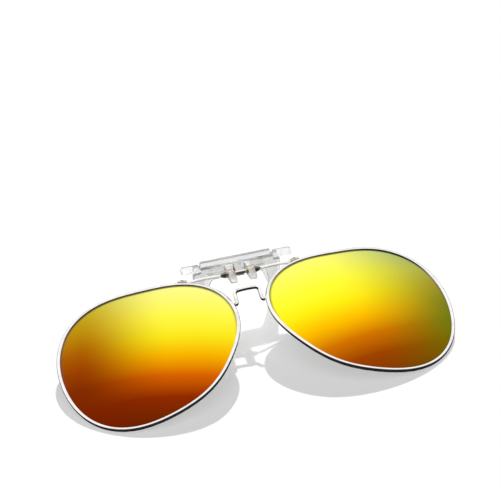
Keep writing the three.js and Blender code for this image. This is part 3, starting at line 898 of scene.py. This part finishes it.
class FLIP_LENS_OT_wires(Maker):
    """Two arms from the rims to the axle, and the bridge between the rims"""

    bl_idname = "flip_lens.wires"
    bl_label = "Arms and bridge"

    def make(self, sizes, finish):
        radius = sizes.arm_radius
        start = AXLE_PLACE + (CAP_TIP_X + GAP, 0, 0)
        along = edge_frame(sizes, LOCK_ANGLE)[3]
        end = on_edge(sizes, LOCK_ANGLE, lock_out(sizes), 0) + along * (LOCK_LONG / 2 + GAP)
        path = through([start, (start + end) / 2 + ARM_BOW, end], ARM_STATIONS)
        wire = tube(with_ends(path, radius), radius, flat=ARM_FLAT, square=ARM_SQUARE)
        satin = metal("satin_wire", finish.polished)
        for side, skin in both_sides(Skin().add(wire)):
            piece = skin.piece(f"arm_wire_{side}")
            finished(even_normals(piece), f"top_arm_{side}", "lens_front", satin)

        radius = sizes.bridge_radius
        foot = [
            on_edge(sizes, BRIDGE_FOOT_ANGLE, sizes.rim_width + out, -FOOT_FORWARD)
            for out in FOOT_OUT]
        half = np.array([*foot, BRIDGE_SHOULDER])
        corners = np.vstack([half, BRIDGE_TOP, half[::-1] * (-1, 1, 1)])
        path = soft_corners(corners, BRIDGE_EASES, steps=BRIDGE_STEPS, closed=False)
        piece = Skin().add(tube(with_ends(path, radius), radius)).piece("bridge_wire")
        wire = metal("polished_wire", finish.polished)
        finished(even_normals(piece), "bridge", "lens_front", wire)


class FLIP_LENS_OT_axle(Maker):
    """Axle rod and the two pointed caps that hold it in the clip's ears"""

    bl_idname = "flip_lens.axle"
    bl_label = "Axle and caps"

    def make(self, sizes, finish):
        rod = rod_profile(sizes.axle_radius, -AXLE_HALF, AXLE_HALF, ROD_EASE)
        piece = Skin().add(turned(rod, AXLE_PLACE)).piece("axle_rod")
        wire = metal("polished_wire", finish.polished)
        finished(even_normals(piece), "axle", "lens_front", wire)
        eased = soft_corners(CAP_PROFILE, CAP_EASE, closed=False)
        smoky = metal("smoky_chrome", finish.smoky)
        for side, skin in both_sides(Skin().add(turned(eased, AXLE_PLACE + (CAP_BASE_X, 0, 0)))):
            piece = skin.piece(f"axle_tip_{side}")
            finished(piece, f"axle_cap_{side}", "lens_front", smoky)


# ---- the clear spring clip -------------------------------------------------------------------

FRONT_Z = 28.3 * MM
FRONT_THICK = 1.3 * MM
FRONT_BACK = FRONT_Z + FRONT_THICK
REAR_Z = 31.2 * MM
REAR_THICK = 1.0 * MM
JAW_TOP = 0.6 * MM
JAW_HALF = 12.7 * MM
# Of each jaw: half the width of its top, how far down its shoulders and its nose arch are, and
# the inner and outer side of a leg at its start and at its toe.
FRONT_JAW = {
    "half": JAW_HALF, "shoulder": 2.9 * MM, "arch": 7.1 * MM,
    "leg": (8.6 * MM, 15.1 * MM), "toe": (13.4 * MM, 15.4 * MM),
}
REAR_JAW = {
    "half": JAW_HALF - 0.4 * MM, "shoulder": 3.2 * MM, "arch": 7.5 * MM,
    "leg": (10.4 * MM, 14.8 * MM), "toe": (12.9 * MM, 14.8 * MM),
}
SHOULDER_STEP = 0.6 * MM
CROWN_EASES = (0.01 * MM, 0.5 * MM, 0.4 * MM, 0.5 * MM)
ARCH_EASE = 0.8 * MM
BAR_HALF = 19.3 * MM
BAR_FRONT = 28.6 * MM
BAR_BACK = 31.6 * MM
BAR_TOP = 0.9 * MM
BAR_THICK = 1.3 * MM
BAR_CORNER = 0.9 * MM
NOTCH_CORNER = 0.45 * MM
NOTCH_PAST = 0.3 * MM
NOTCH_BEHIND = 0.03 * MM
LUG_X = 3.4 * MM
LUG_THICK = 2.3 * MM
KNUCKLE_R = 0.72 * MM
FRONT_KNUCKLE = (5.2 * MM, 7.2 * MM)
REAR_KNUCKLE = (7.6 * MM, 9.6 * MM)
WEB_SUNK = 0.3 * MM
WEB_INSET = 0.05 * MM
PIN_R = 0.4 * MM
PIN_HALF = 10.2 * MM
PIN_EASE = 0.1 * MM
BORE_SIDES = 40
# Radius and half length of the cutters for the pin and for the bushes.
PIN_BORE = (0.48 * MM, 12 * MM)
BUSH_BORE = (1.2 * MM, 6 * MM)
# Half the width and half the height of the torsion spring's window.
WINDOW = (1.9 * MM, 1.25 * MM)


def table_reach(node):
    """How far down a jaw's legs reach in the drawing, from the lowest corner of its solid."""
    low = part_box(node)[0]
    z = FRONT_Z if node == "front_jaw" else REAR_Z
    return (z * math.sin(TABLE_TILT) - (low.z - ORIGIN[2])) / math.cos(TABLE_TILT)


def jaw_outline(half, shoulder, arch, leg, toe, toe_y):
    """Outline of a jaw: top bar, shoulders, and a tapering leg either side of the nose arch."""
    radius = (toe[1] - toe[0]) / 2
    middle = (toe[1] + toe[0]) / 2
    turn = np.linspace(0, np.pi, 13)
    round_toe = np.stack(
        [middle + radius * np.cos(turn), toe_y - radius + radius * np.sin(turn)], axis=1)
    corners = [(0, JAW_TOP), (half, JAW_TOP), (half, shoulder - SHOULDER_STEP), (leg[1], shoulder)]
    crown = soft_corners(corners, CROWN_EASES, closed=False)
    inner = leg[0]
    t = np.linspace(0, 1, 8)[:, None]
    a, b, c = np.array([
        (inner + ARCH_EASE / 2, arch + ARCH_EASE), (inner, arch), (inner - ARCH_EASE, arch)])
    nose = a * (1 - t) ** 2 + 2 * b * t * (1 - t) + c * t ** 2
    right = np.vstack([crown[1:], round_toe, nose])
    return np.vstack([right, right[::-1] * (-1, 1)])


def knuckle(x0, x1):
    """Round barrel on the pivot pin, from x0 to x1."""
    return Skin().add(turned(rod_profile(KNUCKLE_R, x0, x1, ROD_EASE), PIN_PLACE, sides=32))


def knuckle_web(x0, x1, z0, z1):
    """Block that joins a knuckle to its jaw."""
    y = PIN_PLACE[1]
    high = KNUCKLE_R - WEB_INSET
    return Skin().add(box((x0 + WEB_INSET, x1 - WEB_INSET), (y - high, y + high), (z0, z1)))


def knuckles(span, z0, z1):
    """Both knuckles of a jaw, and the webs that reach from z0 to z1."""
    for side in (1, -1):
        x0, x1 = sorted(side * x for x in span)
        yield knuckle(x0, x1)
        yield knuckle_web(x0, x1, z0, z1)


def straight_bore(radius, half, place):
    """Round cutter along x, from `half` before a place to `half` past it."""
    return Skin().add(turned([(radius, -half), (radius, half)], place, sides=BORE_SIDES))


def spring_window():
    """Cutter for the opening that the torsion spring sits in."""
    y = PIN_PLACE[1]
    half, high = WINDOW
    deep = (FRONT_Z - 1 * MM, REAR_Z + 2 * MM)
    return Skin().add(box((-half, half), (y - high, y + high), deep))


class FLIP_LENS_OT_jaws(Maker):
    """Clear front jaw with its brow bar, ears and knuckles, and the rear jaw with its knuckles"""

    bl_idname = "flip_lens.jaws"
    bl_label = "Clear jaws"

    def make(self, sizes, finish):
        clear = material("clear_plastic", shade_clear, tuple(finish.clear), finish.clear_cover)
        ease = sizes.edge_ease
        pin_z = PIN_PLACE[2]
        bore = straight_bore(*PIN_BORE, PIN_PLACE)

        outline = jaw_outline(**FRONT_JAW, toe_y=table_reach("front_jaw"))
        solids = [
            Skin().add(plate(outline, FRONT_Z, FRONT_BACK, ease)), brow_bar(ease), *heels(),
            *both_ears(ease), *knuckles(FRONT_KNUCKLE, FRONT_BACK - WEB_SUNK, pin_z)]
        cuts = [straight_bore(*BUSH_BORE, AXLE_PLACE), bore, spring_window()]
        jaw = joined("front_jaw_shell", solids, cuts)
        finished(even_normals(jaw), "front_jaw", "front_jaw", clear)

        outline = jaw_outline(**REAR_JAW, toe_y=table_reach("rear_jaw"))
        solids = [
            Skin().add(plate(outline, REAR_Z, REAR_Z + REAR_THICK, ease)),
            *knuckles(REAR_KNUCKLE, pin_z, REAR_Z + WEB_SUNK)]
        jaw = joined("rear_jaw_shell", solids, [bore, spring_window()])
        finished(even_normals(jaw), "rear_jaw", "rear_jaw", clear)


def brow_bar(ease):
    """Bar that rests on top of the spectacles, notched for the jaws."""
    inner = JAW_HALF + NOTCH_PAST
    notch = FRONT_BACK + NOTCH_BEHIND
    corners = [
        (-BAR_HALF, BAR_FRONT), (BAR_HALF, BAR_FRONT), (BAR_HALF, BAR_BACK), (inner, BAR_BACK),
        (inner, notch), (-inner, notch), (-inner, BAR_BACK), (-BAR_HALF, BAR_BACK)]
    outline = soft_corners(corners, [BAR_CORNER] * 3 + [NOTCH_CORNER] * 4 + [BAR_CORNER])
    return Skin().add(shelf(plate(outline, BAR_TOP, BAR_TOP + BAR_THICK, ease)))


HEEL_X = (15.9 * MM, 18.7 * MM)
HEEL_Z = (29.0 * MM, 31.2 * MM)
HEEL_CORNER = 0.4 * MM
HEEL_EDGE = 0.12 * MM
HEEL_HIGH = 0.2 * MM
HEEL_SUNK = 0.4 * MM


def heels():
    """Shallow heels under the brow bar's ends, which rest on the spectacles."""
    under = BAR_TOP + BAR_THICK
    outline = soft_corners(
        [(HEEL_X[i], HEEL_Z[j]) for i, j in ((0, 0), (1, 0), (1, 1), (0, 1))], HEEL_CORNER)
    rings = plate(outline, under - HEEL_SUNK, under + HEEL_HIGH, HEEL_EDGE)
    right = Skin().add(shelf(rings))
    return [right, right.mirrored()]


EAR_SUNK = 0.3 * MM
EAR_ROOT_Y = 4.4 * MM
EAR_WAIST = 1.85 * MM
EAR_WAIST_Z = 23.6 * MM
EAR_NOSE = (19.9 * MM, -1.5 * MM)
EAR_NOSE_R = 1.15 * MM
EAR_NOSE_TURN = np.linspace(1.1, -1.9, 12)
EAR_ROOT_EASES = [0.45 * MM, 1.0 * MM, 1.2 * MM]
EAR_NOSE_EASE = 0.14 * MM
EAR_TOP_EASE = 1.2 * MM


def both_ears(ease):
    """The two ears: deep at the jaw, narrowing past the axle to a round nose."""
    axle_y, axle_z = AXLE_PLACE[1:]
    root = FRONT_Z + EAR_SUNK
    nose_z, nose_y = EAR_NOSE
    nose = np.stack([
        nose_z - EAR_NOSE_R * np.cos(EAR_NOSE_TURN),
        nose_y + EAR_NOSE_R * np.sin(EAR_NOSE_TURN)], axis=1)
    corners = np.vstack([
        [(root, JAW_TOP + 0.03 * MM), (root, EAR_ROOT_Y), (EAR_WAIST_Z, axle_y + EAR_WAIST)],
        nose,
        [(axle_z, axle_y - EAR_WAIST)]])
    eases = EAR_ROOT_EASES + [EAR_NOSE_EASE] * len(nose) + [EAR_TOP_EASE]
    outline = soft_corners(corners, eases, steps=4)
    half = LUG_THICK / 2
    return [
        Skin().add(upright(plate(outline, side * LUG_X - half, side * LUG_X + half, ease)))
        for side in (1, -1)]


BUSH_HALF = 1.35
BUSH_EASE = 0.12 * MM
# Radius and place along the axle of a bush's bore, its chamfers and its wall.
BUSH_SECTION = np.array([
    (0.75, -BUSH_HALF), (1.02, -BUSH_HALF), (1.1, 0.3 - BUSH_HALF), (1.1, BUSH_HALF - 0.3),
    (1.02, BUSH_HALF), (0.75, BUSH_HALF)]) * MM


class FLIP_LENS_OT_bushes(Maker):
    """Brass bushes that line the two ears round the axle"""

    bl_idname = "flip_lens.bushes"
    bl_label = "Ear bushes"

    def make(self, sizes, finish):
        section = turned(soft_corners(BUSH_SECTION, BUSH_EASE), AXLE_PLACE + (LUG_X, 0, 0))
        for side, skin in both_sides(Skin().add(section, loop=True)):
            piece = skin.piece(f"ear_bush_ring_{side}")
            brass = metal("brass", finish.brass)
            finished(piece, f"ear_bush_{side}", "front_jaw", brass)


LEAF_HALF = 1.3 * MM
LEAF_THICK = 0.28 * MM
LEAF_EDGE = 0.08 * MM
LEAF_PAST_AXLE = 0.6 * MM
LEAF_FOOT_Y = 3.4 * MM
LEAF_EASES = np.array([0.1, 0.4, 0.1, 0.1, 0.15, 0.1]) * MM
RIVET_Y = 2.25 * MM
RIVET_GAP = 0.05 * MM
RIVET_EASE = 0.1 * MM
# Radius and height of the rivet's domed head.
RIVET_HEAD = np.array([
    (TIP / MM, 0), (0.55, 0), (0.5, -0.2), (0.3, -0.35), (TIP / MM, -0.4)]) * MM


class FLIP_LENS_OT_detent(Maker):
    """Detent leaf, bent under the axle, and the rivet that holds it on the jaw"""

    bl_idname = "flip_lens.detent"
    bl_label = "Detent leaf and rivet"

    def make(self, sizes, finish):
        steel = metal("spring_steel", finish.steel)
        back = FRONT_Z - GAP
        under = AXLE_PLACE[1] + sizes.axle_radius + GAP
        reach = AXLE_PLACE[2] - LEAF_PAST_AXLE
        outline = soft_corners([
            (reach, under), (back, under), (back, LEAF_FOOT_Y), (back - LEAF_THICK, LEAF_FOOT_Y),
            (back - LEAF_THICK, under + LEAF_THICK), (reach, under + LEAF_THICK)], LEAF_EASES)
        rings = upright(plate(outline, -LEAF_HALF, LEAF_HALF, LEAF_EDGE))
        piece = Skin().add(rings).piece("detent_spring_leaf")
        finished(even_normals(piece), "detent_leaf", "front_jaw", steel)
        dome = soft_corners(RIVET_HEAD, RIVET_EASE, closed=False)
        foot = (0, RIVET_Y, back - LEAF_THICK - RIVET_GAP)
        piece = Skin().add(turned(dome, foot, axis=2)).piece("detent_rivet_head")
        finished(piece, "detent_rivet", "front_jaw", steel)


COIL_R = 0.8 * MM
COIL_PITCH = 0.5 * MM
COIL_ARM_TOP = 1.6 * MM
# A coil arm's first point lies this far over the pin, and its ends this far inside the coil.
COIL_ARM_RISE = 1.2 * MM
FRONT_ARM_INSIDE = np.array([0.22, 0.12]) * MM
REAR_ARM_INSIDE = np.array([0.3, 0.4]) * MM
COIL_STATIONS = 360


class FLIP_LENS_OT_pivot(Maker):
    """Pivot pin of the rear jaw, and the torsion spring wound on it"""

    bl_idname = "flip_lens.pivot"
    bl_label = "Pivot pin and spring"

    def make(self, sizes, finish):
        steel = metal("spring_steel", finish.steel)
        rod = rod_profile(PIN_R, -PIN_HALF, PIN_HALF, PIN_EASE)
        pin = Skin().add(turned(rod, PIN_PLACE, sides=48)).piece("pivot_pin_rod")
        finished(even_normals(pin), "pivot_pin", "front_jaw", steel)

        path = with_ends(self.coil_path(sizes.coil_turns), sizes.coil_wire)
        spring = Skin().add(tube(path, sizes.coil_wire, sides=16)).piece("torsion_spring_wire")
        spring.data.materials.append(steel)
        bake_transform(spring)
        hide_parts("torsion_spring")

    @staticmethod
    def coil_path(turns):
        """A helix on the pin, from an arm that lies on one jaw to an arm that lies on the other."""
        share_along = np.linspace(0, 1, int(48 * turns))
        turn = np.pi + 2 * np.pi * turns * share_along
        start = -turns * COIL_PITCH / 2
        pin_y, pin_z = PIN_PLACE[1:]
        coil = np.stack([
            start + COIL_PITCH * turns * share_along,
            pin_y - COIL_R * np.sin(turn),
            pin_z + COIL_R * np.cos(turn)], axis=1)
        front = pin_z - COIL_R + FRONT_ARM_INSIDE
        rear = pin_z + COIL_R - REAR_ARM_INSIDE
        rise = pin_y - COIL_ARM_RISE
        front_arm = [(start, COIL_ARM_TOP, front[0]), (start, rise, front[1])]
        rear_arm = [(-start, rise, rear[0]), (-start, COIL_ARM_TOP, rear[1])]
        return through(np.vstack([front_arm, coil[::4], rear_arm]), COIL_STATIONS)


PAD_THICK = 0.68 * MM
PAD_HALF = 0.62 * MM
PAD_TOP = np.array([14.0, 19.4]) * MM
PAD_BOTTOM = np.array([14.15, 22.6]) * MM
PAD_CROWN = 0.26 * MM
PAD_GAP = 0.05 * MM


class FLIP_LENS_OT_grip_pads(Maker):
    """Soft pads on the facing sides of the four legs"""

    bl_idname = "flip_lens.grip_pads"
    bl_label = "Grip pads"

    def make(self, sizes, finish):
        silicone = material("silicone", shade_silicone, tuple(finish.silicone))
        up_turn, down_turn = np.linspace(np.pi, 2 * np.pi, 16), np.linspace(0, np.pi, 16)
        outline = np.vstack([
            end + PAD_HALF * np.stack([np.cos(turn), np.sin(turn)], axis=1)
            for end, turn in ((PAD_TOP, up_turn), (PAD_BOTTOM, down_turn))])
        lows = {"front": FRONT_BACK + PAD_GAP, "rear": REAR_Z - PAD_GAP - PAD_THICK}
        for end, low in lows.items():
            skin = Skin().add(plate(outline, low, low + PAD_THICK, PAD_CROWN, steps=6))
            for side, one in both_sides(skin):
                piece = one.piece(f"{end}_grip_pad_{side}")
                node, body = f"{end}_pad_{side}", f"{end}_jaw"
                finished(even_normals(piece), node, body, silicone)


# ---- the stage -------------------------------------------------------------------------------

TABLE_HALF = 3.0
TABLE_STATIONS = 9
BACKDROP_RADIUS = 2.8
# Of each sun: the way to it, the angle that it fills in degrees, and whether it casts shadows.
SUNS = {
    "key": ((0.32, 0.875, 1.0), 1.2, True),
    "fill": ((-0.2, -0.7, 1.0), 60, False),
}
# Glow of the world outside the soft box.
DIM = 0.02


class FLIP_LENS_OT_stage(bpy.types.Operator):
    """Pale table, white backdrop, two suns, a soft box behind and above, and the camera"""

    bl_idname = "flip_lens.stage"
    bl_label = "Table, light and camera"
    bl_options = {"REGISTER", "UNDO"}

    def execute(self, context):
        stage = context.scene.flip_lens_stage
        self.table(stage)
        self.backdrop()
        self.lights(context.scene, stage)
        self.camera(context.scene, stage)
        return {"FINISHED"}

    @staticmethod
    def table(stage):
        """A square sheet, laid as a grid under the object."""
        line = np.linspace(-TABLE_HALF, TABLE_HALF, TABLE_STATIONS)
        x, y = np.meshgrid(line, line)
        points = np.stack([x, y, np.zeros_like(x)], axis=-1).reshape(-1, 3)
        index = np.arange(TABLE_STATIONS ** 2).reshape(TABLE_STATIONS, TABLE_STATIONS)
        quads = np.stack([index[:-1, :-1], index[:-1, 1:], index[1:, 1:], index[1:, :-1]], axis=-1)
        mesh = bpy.data.meshes.new("table_top")
        mesh.from_pydata(points, [], quads.reshape(-1, 4).tolist())
        top = linked("table_top", mesh)
        top.visible_glossy = False
        mesh.materials.append(material("white_paper", shade_paper, tuple(stage.floor)))

    @staticmethod
    def backdrop():
        """A white ball round the whole stage, which only the camera sees."""
        turn = np.linspace(0, np.pi, 25)[1:-1]
        profile = BACKDROP_RADIUS * np.stack([np.sin(turn), -np.cos(turn)], axis=1)
        rings = turned(profile, (0, 0, 0), sides=48, axis=2)
        poles = np.array([(0, 0, -BACKDROP_RADIUS), (0, 0, BACKDROP_RADIUS)])
        ball = Skin().add(rings, poles=poles).piece("backdrop")
        ball.data.materials.append(material("backdrop_white", shade_backdrop))
        for rays in ("diffuse", "glossy", "transmission", "volume_scatter", "shadow"):
            setattr(ball, f"visible_{rays}", False)

    @staticmethod
    def lights(scene, stage):
        """The suns light the matt surfaces, and the soft box only shows in what reflects."""
        for name, (towards, spread, shadow) in SUNS.items():
            data = bpy.data.lights.new(name, "SUN")
            data.energy = getattr(stage, name)
            data.angle = math.radians(spread)
            data.use_shadow = shadow
            lamp = bpy.data.objects.new(name, data)
            z = towards / np.linalg.norm(towards)
            x = np.cross([0, 1, 0], z)
            x /= np.linalg.norm(x)
            turn = Matrix(np.stack([x, np.cross(z, x), z], axis=1).tolist())
            lamp.matrix_world = turn.to_4x4()
            lamp.visible_glossy = False
            scene.collection.objects.link(lamp)
        world = bpy.data.worlds.new("soft_box")
        scene.world = world
        finish = Finish(world)
        way = finish.node("ShaderNodeTexCoord", output="Generated")
        y, z = finish.axes(way, "YZ")
        behind = (0.7 * y + 0.6 * z).eased(0.12, 0.42)
        above = z.eased(-0.02, 0.12)
        glow = DIM + behind * above * stage.sky
        background = finish.node(
            "ShaderNodeBackground", {}, {"Color": (1, 1, 1, 1), "Strength": glow})
        finish.node("ShaderNodeOutputWorld", {}, {"Surface": background})
        world.cycles_visibility.diffuse = False
        scene.view_settings.view_transform = "Standard"

    @staticmethod
    def camera(scene, stage):
        """Looks at the aim from its distance, azimuth and elevation, and rolls about the view."""
        a, e, r = stage.azimuth, stage.elevation, stage.roll
        ahead = np.array([math.sin(a) * math.cos(e), math.cos(a) * math.cos(e), -math.sin(e)])
        level = np.cross(ahead, [0, 0, 1])
        level /= np.linalg.norm(level)
        top = np.cross(level, ahead)
        right = level * math.cos(r) + top * math.sin(r)
        up = top * math.cos(r) - level * math.sin(r)
        data = bpy.data.cameras.new("camera")
        data.lens = stage.focal
        data.sensor_width = 36
        data.clip_start = 0.01
        camera = bpy.data.objects.new("camera", data)
        turn = Matrix(np.stack([right, up, -ahead], axis=1).tolist())
        place = np.array(stage.aim) - ahead * stage.distance
        camera.matrix_world = Matrix.Translation(place.tolist()) @ turn.to_4x4()
        scene.collection.objects.link(camera)
        scene.camera = camera


def shade_paper(finish, tone):
    """Matt white paper with a faint tooth."""
    tooth = finish.noise(900.0, 3.0)
    finish.surface(
        Base_Color=rgba(tone), Roughness=0.9, Specular_IOR_Level=0.0,
        Normal=finish.bump(tooth, 0.02, 0.05 * MM))


def shade_backdrop(finish):
    """Plain white light, the same all over."""
    finish.surface(
        Base_Color=(0, 0, 0, 1), Specular_IOR_Level=0.0, Emission_Color=(1, 1, 1, 1),
        Emission_Strength=1.0)


# ---- panel and registration ------------------------------------------------------------------

MAKERS = (
    FLIP_LENS_OT_stage,
    FLIP_LENS_OT_lenses,
    FLIP_LENS_OT_rims,
    FLIP_LENS_OT_closing_blocks,
    FLIP_LENS_OT_wires,
    FLIP_LENS_OT_axle,
    FLIP_LENS_OT_jaws,
    FLIP_LENS_OT_bushes,
    FLIP_LENS_OT_detent,
    FLIP_LENS_OT_pivot,
    FLIP_LENS_OT_grip_pads,
)


class FLIP_LENS_PT_panel(bpy.types.Panel):
    """Lists the pieces of the clip-on lenses"""

    bl_idname = "FLIP_LENS_PT_panel"
    bl_label = "Clip-on flip lenses"
    bl_space_type = "VIEW_3D"
    bl_region_type = "UI"
    bl_category = "Flip lenses"

    def draw(self, context):
        scene = context.scene
        for maker in MAKERS:
            self.layout.operator(maker.bl_idname)
        for group in (scene.flip_lens_sizes, scene.flip_lens_finish, scene.flip_lens_stage):
            box = self.layout.box()
            for name in group.__annotations__:
                box.prop(group, name)


GROUPS = {
    "flip_lens_sizes": FlipLensSizes,
    "flip_lens_finish": FlipLensFinish,
    "flip_lens_stage": FlipLensStage,
}


def register():
    for group in (*GROUPS.values(), *MAKERS, FLIP_LENS_PT_panel):
        bpy.utils.register_class(group)
    for name, group in GROUPS.items():
        setattr(bpy.types.Scene, name, PointerProperty(type=group))


def unregister():
    for name in GROUPS:
        delattr(bpy.types.Scene, name)
    for group in (FLIP_LENS_PT_panel, *MAKERS[::-1], *GROUPS.values()):
        bpy.utils.unregister_class(group)


def main():
    register()
    for maker in MAKERS:
        family, name = maker.bl_idname.split(".")
        getattr(getattr(bpy.ops, family), name)()


if __name__ == "__main__":
    main()
